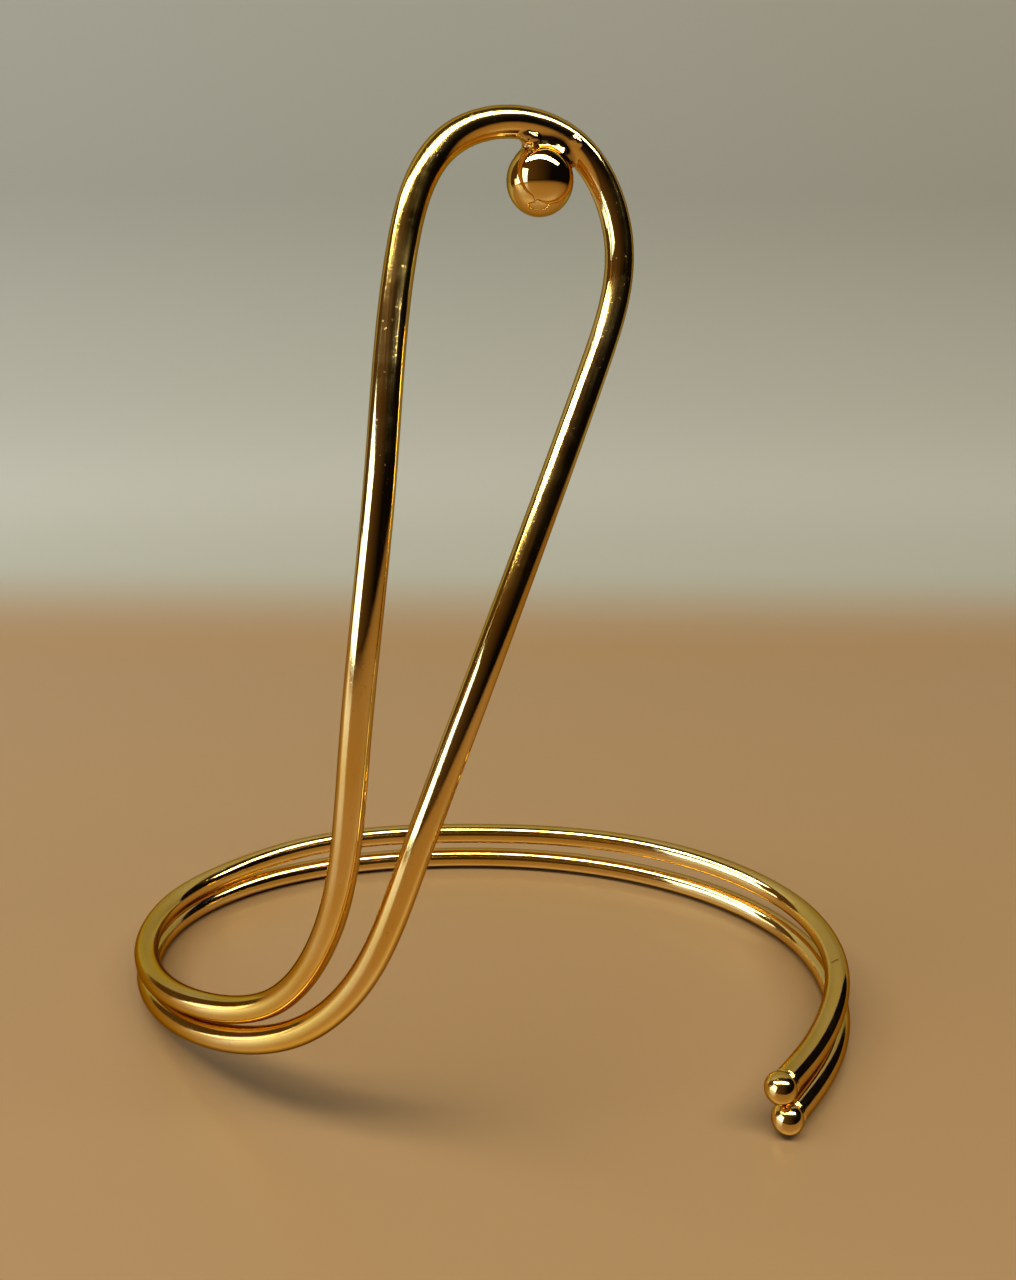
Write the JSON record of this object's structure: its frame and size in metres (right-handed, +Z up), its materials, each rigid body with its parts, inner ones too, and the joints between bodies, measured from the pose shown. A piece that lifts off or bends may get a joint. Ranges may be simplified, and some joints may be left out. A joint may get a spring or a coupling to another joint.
{
  "type": "wire cuff bangle",
  "caption": "Open cuff bangle of polished gold-coloured wire laid in a double ring, with a ball on each wire end and one tall loop carrying a ball under its crest.",
  "frame": {"origin": "on the table, under the middle of the object's box as it rests on its ring", "axes": "+Z up from the table along the tall loop, +X to the right of the front view with the cuff's opening in front, +Y to the back"},
  "size_m": [0.0687, 0.0457, 0.0766],
  "materials": {
    "polished_gold": "mirror-polished gold plate over brass wire, with fine draw marks and a little wear"
  },
  "bodies": {
    "root": {"wire_bangle": "polished_gold"}
  },
  "joints": []
}
